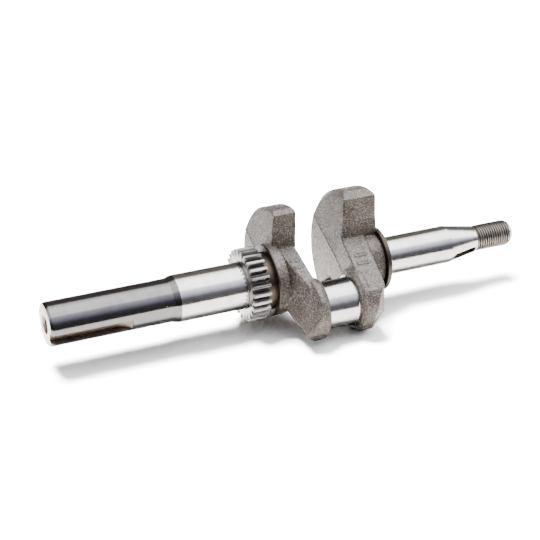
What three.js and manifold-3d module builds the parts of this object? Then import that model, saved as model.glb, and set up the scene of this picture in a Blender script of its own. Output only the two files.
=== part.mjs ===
// Forged crankshaft of a small single-cylinder engine, with its timing gear and the gear's key.
// Millimetres.  The part lies on its side, as it rests on a bench: +Z is up and +X runs along the
// main axis, from the drive end to the flywheel end.  The origin is on the main axis, in the
// middle of the crankpin.
// Everything is drawn upright first, with the counterweights towards +Z and the crankpin straight
// below the main axis, and is then rolled about X until it rests on its floor.
// The forging is one piece of steel.  It is drawn as the simple bodies that it is made up of,
// which meet on flat planes square to X, so that the space between the webs stays open.

import * as THREE from 'three';
import { mergeVertices } from 'three/addons/utils/BufferGeometryUtils.js';
import { ConvexGeometry } from 'three/addons/geometries/ConvexGeometry.js';
import Module from 'manifold-3d';

const wasm = await Module();
wasm.setup();

// ---- driving sizes: the drive end -----------------------------------------------------------
const DRIVE_SHAFT_DIA = 25.4;
const DRIVE_SHAFT_LENGTH = 71.2;
const DRIVE_END_CHAMFER = 1.4;           // along the shaft
const DRIVE_END_CHAMFER_DEPTH = 0.75;    // across the shaft
const LEAD_CONE_LENGTH = 4;              // between the drive shaft and its journal
const DRIVE_JOURNAL_DIA = 27.6;
const DRIVE_JOURNAL_LENGTH = 40.9;
const DRIVE_KEY_WIDTH = 6.35;
const DRIVE_KEY_DEPTH = 3.58;
const DRIVE_KEYWAY_LENGTH = 47;          // from the end face to where the ramp leaves the shaft
const DRIVE_KEYWAY_TURN = 6;             // degrees from the crankpin's direction
const DRIVE_KEY_CUTTER_RADIUS = 19;
const TAP_HOLE_DIA = 8.6;
const TAP_HOLE_DEPTH = 25;
const TAP_HOLE_MOUTH_DIA = 11;

// ---- driving sizes: the timing gear and its key ---------------------------------------------
const GEAR_TEETH = 26;
const GEAR_TIP_DIA = 42.6;
const GEAR_ROOT_DIA = 35.6;
const GEAR_WIDTH = 10.7;
const GEAR_TOOTH_TURN = 3.2;             // degrees from +Y to the middle of the first tooth
const GEAR_TIP_SHARE = 0.27;             // tooth width over pitch, at the tip
const GEAR_PITCH_SHARE = 0.5;
const GEAR_ROOT_SHARE = 0.72;
const GEAR_BORE_CLEARANCE = 0.15;
const GEAR_KEY_SIZE = 3.2;
const GEAR_KEY_LENGTH = 9;
const GEAR_KEY_CLEARANCE = 0.15;

// ---- driving sizes: the throw ---------------------------------------------------------------
const THROW = 25.8;                      // half of the stroke
const PIN_DIA = 27.8;
const PIN_LENGTH = 19.2;
const PIN_BOSS_DIA = 34;                 // ground face beside the crankpin
const PIN_BOSS_FOOT_DIA = 37;            // where the boss meets its web
const ARM_HALF_WIDTH = 17;
const ARM_END_RADIUS = 18.7;             // round end of each arm, about the crankpin
const DRAFT = 0.04;                      // forging draft, away from the parting plane

// ---- driving sizes: the drive-end web -------------------------------------------------------
const DRIVE_WEIGHT_RADIUS = 42.4;
const DRIVE_WEIGHT_ROUNDING = 2.6;       // of the edges along the rim
const DRIVE_WEIGHT_THICKNESS = 17.2;
const DRIVE_WEIGHT_HALF_WIDTH = 37.4;
const DRIVE_WEIGHT_CORNER = 15.6;        // height of the weight's corner above the main axis
const DRIVE_WEIGHT_SHOULDER = 8;         // height of the weight's shoulder where it meets the arm
const DRIVE_WEB_STANDOFF = 3.5;          // from the end of the crankpin to the web's inner face
const THRUST_BOSS_DIA = 41.8;
const THRUST_BOSS_HEIGHT = 2.85;         // above the outer face of the weight
const GEAR_SHOULDER_DIA = 34;
const GEAR_SHOULDER_LENGTH = 5;

// ---- driving sizes: the flywheel-end web and shaft ------------------------------------------
const FLYWHEEL_WEIGHT_RADIUS = 45;
const FLYWHEEL_WEIGHT_ROUNDING = 4.2;
const FLYWHEEL_WEIGHT_THICKNESS = 23.7;
const FLYWHEEL_WEIGHT_HALF_WIDTH = 38.3;
const FLYWHEEL_WEIGHT_CORNER = 17;
const FLYWHEEL_WEIGHT_SHOULDER = 6;
const FLYWHEEL_WEB_STANDOFF = 5.1;
const FLYWHEEL_ARM_SLANT = 2;            // how much nearer the crankpin the arm is than the weight
const FLYWHEEL_ARM_THICKNESS = 14;
const NECK_DIA = 33;
const FLANGE_DIA = 38.6;
const FLANGE_THICKNESS = 2.6;
const FLANGE_SINK = 0.9;                 // how far the flange starts inside the weight's outer face
const FLYWHEEL_JOURNAL_DIA = 23;
const FLYWHEEL_JOURNAL_LENGTH = 45.4;
const TAPER_LENGTH = 19.7;
const TAPER_SMALL_DIA = 16.3;
const TAPER_KEY_WIDTH = 4.76;
const TAPER_KEYWAY_START = 1.6;          // from the large end of the taper
const TAPER_KEYWAY_LENGTH = 15.9;
const TAPER_KEY_DEPTH = 2.4;
const THREAD_DIA = 15.875;
const THREAD_LENGTH = 21.7;              // at full diameter
const TIP_CHAMFER_LENGTH = 2.2;
const TIP_LENGTH = 2.9;                  // beyond the full thread, its chamfer included
const TIP_DIA = 13.6;
const THREAD_RELIEF_LENGTH = 0.6;
const THREAD_RELIEF_DIA = 14.6;

const SPLIT_CLEARANCE = 0.05;            // between the flange and the journal inside it
const ROUND_STEPS = 96;                  // facets around each turned surface
const CURVE_STEPS = 24;                  // facets along each arc of an extruded outline
const FAR = 200;                         // larger than the part, for cutting shapes

// ---- stations along the main axis -----------------------------------------------------------
const pinEnd = PIN_LENGTH / 2;
const driveWebInner = pinEnd + DRIVE_WEB_STANDOFF;
const flywheelWebInner = pinEnd + FLYWHEEL_WEB_STANDOFF;
const driveWebOuter = -(driveWebInner + DRIVE_WEIGHT_THICKNESS);
const thrustFace = driveWebOuter - THRUST_BOSS_HEIGHT;
const gearRear = thrustFace - GEAR_SHOULDER_LENGTH;
const gearFront = gearRear - GEAR_WIDTH;
const driveJournalStart = gearFront - DRIVE_JOURNAL_LENGTH;
const leadConeStart = driveJournalStart - LEAD_CONE_LENGTH;
const driveEnd = leadConeStart - DRIVE_SHAFT_LENGTH;
const flywheelWebOuter = flywheelWebInner + FLYWHEEL_WEIGHT_THICKNESS;
const flangeStart = flywheelWebOuter - FLANGE_SINK;
const flangeFace = flangeStart + FLANGE_THICKNESS;
const taperStart = flangeFace + FLYWHEEL_JOURNAL_LENGTH;
const taperEnd = taperStart + TAPER_LENGTH;
const threadStart = taperEnd + THREAD_RELIEF_LENGTH;
const threadEnd = threadStart + THREAD_LENGTH;
const flywheelEnd = threadEnd + TIP_LENGTH;

// ---- solids ---------------------------------------------------------------------------------
function toSolid(geometry) {
  const bare = geometry.index ? geometry.toNonIndexed() : geometry.clone();
  bare.deleteAttribute('normal');
  bare.deleteAttribute('uv');
  const merged = mergeVertices(bare, 1e-4);
  const index = merged.index.array;
  const triangles = [];
  for (let i = 0; i < index.length; i += 3) {
    const [a, b, c] = [index[i], index[i + 1], index[i + 2]];
    if (a !== b && b !== c && c !== a) triangles.push(a, b, c);
  }
  return new wasm.Manifold(new wasm.Mesh({
    numProp: 3,
    vertProperties: new Float32Array(merged.attributes.position.array),
    triVerts: new Uint32Array(triangles),
  }));
}

function toGeometry(solid) {
  const mesh = solid.getMesh();
  const geometry = new THREE.BufferGeometry();
  geometry.setAttribute('position', new THREE.BufferAttribute(new Float32Array(mesh.vertProperties), 3));
  geometry.setIndex(new THREE.BufferAttribute(new Uint32Array(mesh.triVerts), 1));
  const flat = geometry.toNonIndexed();
  flat.computeVertexNormals();
  return flat;
}

function joined(solids) {
  return solids.reduce((all, next) => all.add(next));
}

// A turned solid about the X axis, from [station, radius] pairs that start and end on the axis.
function turned(profile) {
  const points = profile.map(([x, r]) => new THREE.Vector2(r, x));
  const geometry = new THREE.LatheGeometry(points, ROUND_STEPS);
  geometry.rotateZ(-Math.PI / 2);
  return toSolid(geometry);
}

function onPinAxis(solid) {
  return solid.translate([0, 0, -THROW]);
}

// An outline drawn in Y and Z, extruded along X.
function alongX(shape, from, to) {
  const options = { depth: to - from, bevelEnabled: false, curveSegments: CURVE_STEPS };
  const geometry = new THREE.ExtrudeGeometry(shape, options);
  const axes = new THREE.Matrix4().makeBasis(
    new THREE.Vector3(0, 1, 0), new THREE.Vector3(0, 0, 1), new THREE.Vector3(1, 0, 0));
  geometry.applyMatrix4(axes);
  geometry.translate(from, 0, 0);
  return toSolid(geometry);
}

// An outline drawn in X and Z, extruded along Y to both sides of the parting plane.
function acrossY(shape, width) {
  const options = { depth: width, bevelEnabled: false, curveSegments: CURVE_STEPS };
  const geometry = new THREE.ExtrudeGeometry(shape, options);
  geometry.translate(0, 0, -width / 2);
  geometry.rotateX(Math.PI / 2);
  return toSolid(geometry);
}

function box(from, to) {
  const size = to.map((high, i) => high - from[i]);
  const geometry = new THREE.BoxGeometry(...size);
  geometry.translate(...from.map((low, i) => low + size[i] / 2));
  return toSolid(geometry);
}

function hull(points) {
  return toSolid(new ConvexGeometry(points.map((p) => new THREE.Vector3(...p))));
}

// A list of [x, y, z] corners, with each one repeated on the other side of the parting plane.
function bothSides(corners) {
  return corners.flatMap(([x, y, z]) => (y === 0 ? [[x, y, z]] : [[x, y, z], [x, -y, z]]));
}

// ---- webs -----------------------------------------------------------------------------------
// side is -1 for the drive end and +1 for the flywheel end.  All faces lean away from the parting
// plane, so the weight is thickest on it.
function counterweight({ side, inner, thickness, radius, rounding, halfWidth, corner, shoulder }) {
  const outer = inner + thickness;
  const sideTop = Math.sqrt(radius ** 2 - halfWidth ** 2);
  const rimStart = Math.atan2(sideTop, halfWidth);
  const outline = new THREE.Shape();
  outline.moveTo(-ARM_HALF_WIDTH, shoulder);
  outline.lineTo(ARM_HALF_WIDTH, shoulder);
  outline.lineTo(halfWidth, corner);
  outline.absarc(0, 0, radius, rimStart, Math.PI - rimStart, false);
  outline.lineTo(-halfWidth, corner);
  outline.closePath();
  const reach = radius + 5;
  const lean = DRAFT * reach;
  const corners = bothSides([[inner, 0], [outer, 0], [inner + lean, reach], [outer - lean, reach]]);
  const slab = hull(corners.flatMap(([x, y]) => [[side * x, y, -FAR], [side * x, y, FAR]]));
  const rim = [[inner, 0], [inner, radius - rounding], [inner + rounding, radius],
    [outer - rounding, radius], [outer, radius - rounding], [outer, 0]].map(([x, r]) => [side * x, r]);
  const wheel = turned(side > 0 ? rim : rim.reverse());
  return alongX(outline, -FAR, FAR).intersect(slab).intersect(wheel);
}

// An arm runs from the main axis down to a round end about the crankpin.  Each row of faces is a
// height, then how far out the inner face and the outer face are: on the parting plane, and at the
// arm's sides.
function arm(side, faces) {
  const corners = faces.flatMap(([z, innerRidge, innerEdge, outerRidge, outerEdge]) => [
    [innerRidge, 0, z], [outerRidge, 0, z],
    [innerEdge, ARM_HALF_WIDTH, z], [outerEdge, ARM_HALF_WIDTH, z],
  ]);
  const slab = hull(bothSides(corners).map(([x, y, z]) => [side * x, y, z]));
  const outline = new THREE.Shape();
  const tangent = Math.asin(ARM_HALF_WIDTH / ARM_END_RADIUS);
  outline.moveTo(ARM_HALF_WIDTH, FAR);
  outline.lineTo(-ARM_HALF_WIDTH, FAR);
  outline.absarc(0, -THROW, ARM_END_RADIUS, Math.PI * 1.5 - tangent, Math.PI * 1.5 + tangent, false);
  outline.closePath();
  return slab.intersect(alongX(outline, -FAR, FAR));
}

// The raised round seat beside the crankpin, inside the round end of the arm.
function pinBoss(side, inner) {
  const foot = inner + 3;
  const profile = [[pinEnd, 0], [pinEnd, PIN_BOSS_DIA / 2], [inner, PIN_BOSS_FOOT_DIA / 2],
    [foot, PIN_BOSS_FOOT_DIA / 2], [foot, 0]].map(([x, r]) => [side * x, r]);
  return onPinAxis(turned(side > 0 ? profile : profile.reverse()));
}

const driveWeight = counterweight({
  side: -1, inner: driveWebInner, thickness: DRIVE_WEIGHT_THICKNESS, radius: DRIVE_WEIGHT_RADIUS,
  rounding: DRIVE_WEIGHT_ROUNDING, halfWidth: DRIVE_WEIGHT_HALF_WIDTH, corner: DRIVE_WEIGHT_CORNER,
  shoulder: DRIVE_WEIGHT_SHOULDER,
});
const armFoot = -THROW - ARM_END_RADIUS - 1;   // just below the round end of an arm
const driveOuter = -driveWebOuter;
const driveArm = arm(-1, [
  [DRIVE_WEIGHT_SHOULDER + 3, driveWebInner, driveWebInner + 1.7, driveOuter, driveOuter - 3.8],
  [-10, driveWebInner - 0.8, driveWebInner + 1.5, driveOuter - 0.4, driveOuter - 8.8],
  [-20, driveWebInner - 1.4, driveWebInner + 0.6, driveOuter - 1.1, driveOuter - 12],
  [-33, driveWebInner - 2.1, driveWebInner - 0.2, driveOuter - 3.7, driveOuter - 15.9],
  [armFoot, driveWebInner - 2.7, driveWebInner - 2, driveOuter - 6.1, driveOuter - 19],
]);
const thrustBoss = turned([
  [gearRear, 0], [gearRear, GEAR_SHOULDER_DIA / 2], [thrustFace, GEAR_SHOULDER_DIA / 2],
  [thrustFace, THRUST_BOSS_DIA / 2], [driveWebOuter + 4, THRUST_BOSS_DIA / 2],
  [driveWebOuter + 4, 0],
]);
const driveWeb = joined([driveWeight, driveArm, thrustBoss, pinBoss(-1, driveWebInner)]);

const flywheelWeight = counterweight({
  side: 1, inner: flywheelWebInner, thickness: FLYWHEEL_WEIGHT_THICKNESS,
  radius: FLYWHEEL_WEIGHT_RADIUS, rounding: FLYWHEEL_WEIGHT_ROUNDING,
  halfWidth: FLYWHEEL_WEIGHT_HALF_WIDTH, corner: FLYWHEEL_WEIGHT_CORNER,
  shoulder: FLYWHEEL_WEIGHT_SHOULDER,
});
const armOuter = flywheelWebInner + FLYWHEEL_ARM_THICKNESS;
const flywheelArm = arm(1, [
  [FLYWHEEL_WEIGHT_SHOULDER + 3, flywheelWebInner + 0.3, flywheelWebInner + 0.4, armOuter + 1,
    armOuter + 0.6],
  [-4, flywheelWebInner - 0.6, flywheelWebInner - 0.6, armOuter + 0.6, armOuter],
  [-30, flywheelWebInner - 2.8, flywheelWebInner - 1.7, armOuter - 0.8, armOuter - 2],
  [-38, flywheelWebInner - 3.5, flywheelWebInner - 2, armOuter - 1.6, armOuter - 11.7],
  [armFoot, flywheelWebInner - 4.2, flywheelWebInner - 3, armOuter - 12.5, armOuter - 15],
]);
const neck = turned([
  [flywheelWebInner + 2, 0], [flywheelWebInner + 2, NECK_DIA / 2], [flangeStart, NECK_DIA / 2],
  [flangeStart, 0],
]);
// The flange's own space is cleared out of the weight, which reaches a little past its front.
const flangeRoom = turned([
  [flangeStart, 0], [flangeStart, FLANGE_DIA / 2 + 0.4], [FAR, FLANGE_DIA / 2 + 0.4], [FAR, 0],
]);
const flywheelBoss = pinBoss(1, flywheelWebInner - FLYWHEEL_ARM_SLANT);
const flywheelWeb = joined([flywheelWeight, flywheelArm, neck, flywheelBoss])
  .subtract(flangeRoom);

// ---- drive shaft and its journal ------------------------------------------------------------
const driveRadius = DRIVE_SHAFT_DIA / 2;
const driveJournalRadius = DRIVE_JOURNAL_DIA / 2;
const mouthRadius = TAP_HOLE_MOUTH_DIA / 2;
const tapRadius = TAP_HOLE_DIA / 2;
const tapHole = turned([
  [driveEnd - 1, 0], [driveEnd - 1, mouthRadius + 1], [driveEnd, mouthRadius],
  [driveEnd + mouthRadius - tapRadius, tapRadius], [driveEnd + TAP_HOLE_DEPTH, tapRadius],
  [driveEnd + TAP_HOLE_DEPTH + tapRadius * 0.6, 0],
]);

// Milled from the end face with a disc cutter, which leaves a ramp at the inner end.
const keyFloor = driveRadius - DRIVE_KEY_DEPTH;
const rampLength = Math.sqrt(DRIVE_KEY_CUTTER_RADIUS ** 2
  - (DRIVE_KEY_CUTTER_RADIUS - DRIVE_KEY_DEPTH) ** 2);
const rampStart = driveEnd + DRIVE_KEYWAY_LENGTH - rampLength;
const cutterHeight = keyFloor + DRIVE_KEY_CUTTER_RADIUS;
const driveKeyOutline = new THREE.Shape();
driveKeyOutline.moveTo(driveEnd - 1, cutterHeight);
driveKeyOutline.lineTo(driveEnd - 1, keyFloor);
driveKeyOutline.lineTo(rampStart, keyFloor);
driveKeyOutline.absarc(rampStart, cutterHeight, DRIVE_KEY_CUTTER_RADIUS, -Math.PI / 2, 0, false);
driveKeyOutline.closePath();
const driveKeyway = acrossY(driveKeyOutline, DRIVE_KEY_WIDTH);

const driveShaft = turned([
  [driveEnd, 0], [driveEnd, driveRadius - DRIVE_END_CHAMFER_DEPTH],
  [driveEnd + DRIVE_END_CHAMFER, driveRadius], [leadConeStart, driveRadius],
  [driveJournalStart, driveJournalRadius], [driveJournalStart, 0],
]).subtract(tapHole).subtract(driveKeyway);

const gearKeyRoom = GEAR_KEY_SIZE / 2 + GEAR_KEY_CLEARANCE;
const gearKeyFloor = driveJournalRadius - GEAR_KEY_SIZE / 2;
const gearKeyFrom = gearRear - GEAR_KEY_LENGTH - 2 * GEAR_KEY_CLEARANCE;
const gearKeySeat = box([gearKeyFrom, -gearKeyRoom, gearKeyFloor],
  [gearRear + 1, gearKeyRoom, driveJournalRadius + 1]);
const driveJournal = turned([
  [driveJournalStart, 0], [driveJournalStart, driveJournalRadius], [gearRear, driveJournalRadius],
  [gearRear, 0],
]).subtract(gearKeySeat);

// ---- crankpin -------------------------------------------------------------------------------
const crankpin = onPinAxis(turned([
  [-pinEnd, 0], [-pinEnd, PIN_DIA / 2], [pinEnd, PIN_DIA / 2], [pinEnd, 0],
]));

// ---- flywheel end ---------------------------------------------------------------------------
// The journal is drawn through the flange, so that the flange's face is the ring that a bearing meets.
const journalRadius = FLYWHEEL_JOURNAL_DIA / 2;
const flangeRadius = FLANGE_DIA / 2;
const flangeBoreRadius = journalRadius + SPLIT_CLEARANCE;
const flange = turned([
  [flangeStart, 0], [flangeStart, flangeRadius], [flangeFace, flangeRadius], [flangeFace, 0],
]).subtract(turned([
  [flangeStart - 1, 0], [flangeStart - 1, flangeBoreRadius], [flangeFace + 1, flangeBoreRadius],
  [flangeFace + 1, 0],
]));
const flywheelJournal = turned([
  [flangeStart, 0], [flangeStart, journalRadius], [taperStart, journalRadius], [taperStart, 0],
]);

// The keyway's floor follows the slope of the taper; its outer end is square, its inner end round.
const taperSlope = (journalRadius - TAPER_SMALL_DIA / 2) / TAPER_LENGTH;
const keyFrom = taperStart + TAPER_KEYWAY_START;
const keyTo = keyFrom + TAPER_KEYWAY_LENGTH;
function taperKeyDepthAt(x) {
  return journalRadius - taperSlope * (x - taperStart) - TAPER_KEY_DEPTH;
}
const halfKey = TAPER_KEY_WIDTH / 2;
const taperKeyOutline = new THREE.Shape();
taperKeyOutline.absarc(keyFrom + halfKey, 0, halfKey, Math.PI / 2, Math.PI * 1.5, false);
taperKeyOutline.lineTo(keyTo, -halfKey);
taperKeyOutline.lineTo(keyTo, halfKey);
taperKeyOutline.closePath();
const taperKeySides = new THREE.ExtrudeGeometry(taperKeyOutline,
  { depth: 2 * FAR, bevelEnabled: false, curveSegments: CURVE_STEPS });
const taperKeyFloor = new THREE.Shape();
taperKeyFloor.moveTo(keyFrom - 1, taperKeyDepthAt(keyFrom - 1));
taperKeyFloor.lineTo(keyTo + 1, taperKeyDepthAt(keyTo + 1));
taperKeyFloor.lineTo(keyTo + 1, FAR);
taperKeyFloor.lineTo(keyFrom - 1, FAR);
taperKeyFloor.closePath();
const taperKeyway = toSolid(taperKeySides).intersect(acrossY(taperKeyFloor, 2 * TAPER_KEY_WIDTH));
const flywheelTaper = turned([
  [taperStart, 0], [taperStart, journalRadius], [taperEnd, TAPER_SMALL_DIA / 2], [taperEnd, 0],
]).subtract(taperKeyway);

const threadedEnd = turned([
  [taperEnd, 0], [taperEnd, THREAD_RELIEF_DIA / 2], [threadStart, THREAD_RELIEF_DIA / 2],
  [threadStart, THREAD_DIA / 2], [threadEnd, THREAD_DIA / 2],
  [threadEnd + TIP_CHAMFER_LENGTH, TIP_DIA / 2], [flywheelEnd, TIP_DIA / 2],
  [flywheelEnd, 0],
]);

// ---- timing gear ----------------------------------------------------------------------------
const pitchAngle = Math.PI * 2 / GEAR_TEETH;
const tipRadius = GEAR_TIP_DIA / 2;
const rootRadius = GEAR_ROOT_DIA / 2;
const middleRadius = (tipRadius + rootRadius) / 2;

function gearOutline() {
  const flank = [
    [GEAR_ROOT_SHARE, rootRadius], [GEAR_PITCH_SHARE, middleRadius], [GEAR_TIP_SHARE, tipRadius],
  ];
  const points = [];
  for (let tooth = 0; tooth < GEAR_TEETH; tooth += 1) {
    const middle = THREE.MathUtils.degToRad(GEAR_TOOTH_TURN) + tooth * pitchAngle;
    const rising = flank.map(([share, r]) => [middle - share * pitchAngle / 2, r]);
    const falling = flank.map(([share, r]) => [middle + share * pitchAngle / 2, r]).reverse();
    points.push(...[...rising, ...falling].map(([angle, r]) =>
      new THREE.Vector2(r * Math.cos(angle), r * Math.sin(angle))));
  }
  return new THREE.Shape(points);
}

const gearBoreRadius = driveJournalRadius + GEAR_BORE_CLEARANCE;
const gearBore = turned([
  [gearFront - 1, 0], [gearFront - 1, gearBoreRadius], [gearRear + 1, gearBoreRadius],
  [gearRear + 1, 0],
]);
const keyBottom = gearKeyFloor + GEAR_KEY_CLEARANCE;
const keyTop = keyBottom + GEAR_KEY_SIZE;
const gearSlot = box([gearFront - 1, -gearKeyRoom, 0],
  [gearRear + 1, gearKeyRoom, keyTop + GEAR_KEY_CLEARANCE]);
const timingGear = alongX(gearOutline(), gearFront, gearRear).subtract(gearBore).subtract(gearSlot);
const gearKeyStart = gearKeyFrom + GEAR_KEY_CLEARANCE;
const timingGearKey = box([gearKeyStart, -GEAR_KEY_SIZE / 2, keyBottom],
  [gearKeyStart + GEAR_KEY_LENGTH, GEAR_KEY_SIZE / 2, keyTop]);

// ---- the roll that lays the part down -------------------------------------------------------
// It rests on the corners of the flywheel-end weight and of the round ends of the arms.
const armCornerDepth = THROW + Math.sqrt(ARM_END_RADIUS ** 2 - ARM_HALF_WIDTH ** 2);
const lieAngle = Math.atan2(FLYWHEEL_WEIGHT_HALF_WIDTH - ARM_HALF_WIDTH,
  FLYWHEEL_WEIGHT_CORNER + armCornerDepth);

// The keyways are cut on the crankpin's side, where the drive end's is a little off its direction.
const HALF_TURN = 180;
function keyedToPin(solid, turn) {
  return solid.rotate([HALF_TURN - turn, 0, 0]);
}

// ---- the model ------------------------------------------------------------------------------
const FORGED = { color: 0x5d5650, roughness: 0.6, metalness: 0.85 };
const TURNED = { color: 0x9a9a9b, roughness: 0.35, metalness: 1 };
const GROUND = { color: 0xc4c2c0, roughness: 0.15, metalness: 1 };
const GEAR = { color: 0xaaa49c, roughness: 0.35, metalness: 1 };
const KEY_STEEL = { color: 0x6c6a67, roughness: 0.4, metalness: 1 };

const upright = new THREE.Group();

function piece(name, solid, finish) {
  const mesh = new THREE.Mesh(toGeometry(solid), new THREE.MeshStandardMaterial(finish));
  mesh.name = name;
  upright.add(mesh);
}

piece('pto_shaft', keyedToPin(driveShaft, DRIVE_KEYWAY_TURN), TURNED);
piece('pto_journal', driveJournal, GROUND);
piece('timing_gear', timingGear, GEAR);
piece('timing_gear_key', timingGearKey, KEY_STEEL);
piece('pto_web', driveWeb, FORGED);
piece('crankpin', crankpin, GROUND);
piece('flywheel_web', flywheelWeb, FORGED);
piece('thrust_flange', flange, TURNED);
piece('flywheel_journal', flywheelJournal, GROUND);
piece('flywheel_taper', keyedToPin(flywheelTaper, 0), GROUND);
piece('threaded_end', threadedEnd, TURNED);

upright.rotation.x = lieAngle - Math.PI / 2;
const model = new THREE.Group();
model.add(upright);

export default model;
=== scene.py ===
"""Looks for a small forged crankshaft: rounded forged webs, ground journals, a hobbed timing gear and
a cut thread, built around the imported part, on a pale studio floor."""
import math

import bmesh
import bpy
from mathutils import Matrix, Vector, noise


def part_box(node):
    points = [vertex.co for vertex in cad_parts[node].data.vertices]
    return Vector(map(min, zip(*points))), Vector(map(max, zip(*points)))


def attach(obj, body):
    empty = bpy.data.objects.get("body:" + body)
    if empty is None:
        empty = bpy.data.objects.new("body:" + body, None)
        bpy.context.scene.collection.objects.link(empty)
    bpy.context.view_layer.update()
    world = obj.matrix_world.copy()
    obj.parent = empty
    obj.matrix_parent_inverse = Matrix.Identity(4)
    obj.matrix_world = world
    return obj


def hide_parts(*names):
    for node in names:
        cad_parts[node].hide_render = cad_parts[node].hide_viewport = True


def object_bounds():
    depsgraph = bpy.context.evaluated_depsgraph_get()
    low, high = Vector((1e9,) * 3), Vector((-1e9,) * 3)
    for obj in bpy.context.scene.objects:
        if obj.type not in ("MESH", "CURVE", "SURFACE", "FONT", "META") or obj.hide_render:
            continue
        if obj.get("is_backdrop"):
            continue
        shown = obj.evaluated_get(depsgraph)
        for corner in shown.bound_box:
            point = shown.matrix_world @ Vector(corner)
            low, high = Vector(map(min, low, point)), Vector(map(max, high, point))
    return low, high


bl_info = {
    "name": "Forged Crankshaft",
    "version": (1, 0, 0),
    "blender": (4, 5, 0),
    "location": "View3D > Sidebar > Crankshaft",
    "description": "Detailed meshes and finishes for a small single-cylinder crankshaft",
    "category": "Add Mesh",
}

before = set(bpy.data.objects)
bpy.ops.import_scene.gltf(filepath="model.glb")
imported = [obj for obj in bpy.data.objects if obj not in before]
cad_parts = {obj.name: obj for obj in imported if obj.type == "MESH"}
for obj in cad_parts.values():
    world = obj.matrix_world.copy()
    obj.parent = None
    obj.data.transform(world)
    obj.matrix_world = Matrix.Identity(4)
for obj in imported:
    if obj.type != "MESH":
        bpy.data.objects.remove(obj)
CAD_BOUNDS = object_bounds()

MM = 0.001
ROOT = "root"
AROUND = 256                             # facets round a turned piece

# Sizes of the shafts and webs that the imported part's boxes don't give.
SHAFT_RADIUS = 12.7 * MM
END_CHAMFER = 1.4 * MM
END_CHAMFER_DEPTH = 0.75 * MM
TAP_PITCH = 1.058 * MM
TAP_THREAD_DEPTH = 0.5 * MM
TAP_POINT = 2.6 * MM                     # the drill's cone at the bottom of the tapped hole
PAST_END = 1.0 * MM                      # how far a cutter reaches past the face that it cuts
RAMP_SWEEP, RAMP_STEPS = 48, 24          # the cutter's arc at the keyway's ramp, in degrees, and its points
KEYWAY_TURN = math.radians(-6)           # from the crankpin's direction
DIMPLE_RADIUS = 0.45 * MM                # a small pit beside the lead cone
DIMPLE_BACK = 8.5 * MM
DIMPLE_TURN = math.radians(-38)
SHOULDER_LENGTH = 5.0 * MM               # the shoulder that the gear sits against
SHOULDER_RADIUS = 17.0 * MM
BOSS_RADIUS = 20.9 * MM
GAP_SHADE_DEPTH = 3.2 * MM                     # where the painted shade between the gear's teeth is full
TAPER_SMALL_RADIUS = 8.15 * MM
THREAD_SHADOW_DEPTH = 0.75 * MM
TIP_SLOPE = 0.52                         # how fast the flywheel end narrows past its thread
FILLET_STEPS = 6
RELIEF_LENGTH = 0.7 * MM
TIP_EDGE = 0.45 * MM

# The forged skin.
SOFTEN_STEPS = 6
PAINTED_HIGHLIGHT_SHARE = 0.3                       # of the painted highlight's colour, on the arms' sides and weights' tops, which face up to the light
# Raised bars on the side of each arm, in millimetres: place along X and Z, and length along X.
FORGING_MARKS = {
    "pto_web": ((-19.0, -3.0, 5.0), (-18.5, -8.0, 5.0)),
    "flywheel_web": ((21.0, -8.0, 8.0), (20.5, -14.0, 8.0)),
}
MARK_SIDE = 16.9 * MM
MARK_SIZE = 1.5 * MM

# The studio.  The sky runs from the front horizon, over the top, to the back horizon: the share of
# that half turn, and the colour there.
SKY = (
    (0.075, (0.035, 0.033, 0.035)), (0.13, (0.055, 0.055, 0.065)), (0.20, (0.21, 0.21, 0.26)),
    (0.31, (0.48, 0.48, 0.56)), (0.36, (1.2, 1.2, 1.23)), (0.56, (1.3, 1.3, 1.3)),
    (0.66, (0.9, 0.9, 0.9)), (0.73, (0.05, 0.045, 0.04)),
)
SKY_FRONT = (0.03, 0.028, 0.028, 1)
SKY_BACK = (0.02, 0.018, 0.016, 1)
SKY_STRENGTH = 11.0
DIFFUSE_SKY_SHARE = 0.1                  # of the sky's strength, for light that falls on the floor
LEFT_SKY_SHARE = 0.5                     # of the sky's strength, towards the drive end
BACKDROP_STRENGTH = 24.0                 # what the camera sees instead of the sky
KEY_POWER = 620.0
KEY_PLACE = (-0.2, 0.35, 1.3)
KEY_SIZE = (0.8, 0.4)
FLOOR_RADIUS = 3.0
FLOOR_IN_FRONT = 0.22                    # how far the floor reaches in front of the part
FLOOR_SPILL = 0.1                        # the floor's shade for light that it throws back at itself
FADE_FROM, FADE_TO = 0.45, 1.1           # where the floor fades into the backdrop
LENS = 97.27
# The camera in the upright frame: its right and up directions and its place, in metres.
CAMERA_RIGHT = Vector((0.91416, -0.17212, -0.36700))
CAMERA_UP = Vector((0.18255, -0.63356, 0.75186))
CAMERA_PLACE = Vector((-0.33586, -0.64253, -0.45998))


def box_of(cad_node):
    low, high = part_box(cad_node)
    return Vector(low), Vector(high)


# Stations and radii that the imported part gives.
SHAFT_LOW, SHAFT_HIGH = box_of("pto_shaft")
JOURNAL_LOW, JOURNAL_HIGH = box_of("pto_journal")
GEAR_LOW, GEAR_HIGH = box_of("timing_gear")
PIN_LOW, PIN_HIGH = box_of("crankpin")
FLANGE_LOW, FLANGE_HIGH = box_of("thrust_flange")
BEARING_LOW, BEARING_HIGH = box_of("flywheel_journal")
TAPER_LOW, TAPER_HIGH = box_of("flywheel_taper")
THREAD_LOW, THREAD_HIGH = box_of("threaded_end")
PIN_AXIS = (PIN_LOW + PIN_HIGH) / 2
THROW = math.hypot(PIN_AXIS.y, PIN_AXIS.z)
LIE = math.atan2(-PIN_AXIS.z, -PIN_AXIS.y)
# Upright, the counterweights point to +Z; this lays them down as the part rests.
LAY_DOWN = Matrix.Rotation(LIE - math.pi / 2, 4, "X")
STAND_UP = LAY_DOWN.inverted()


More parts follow.
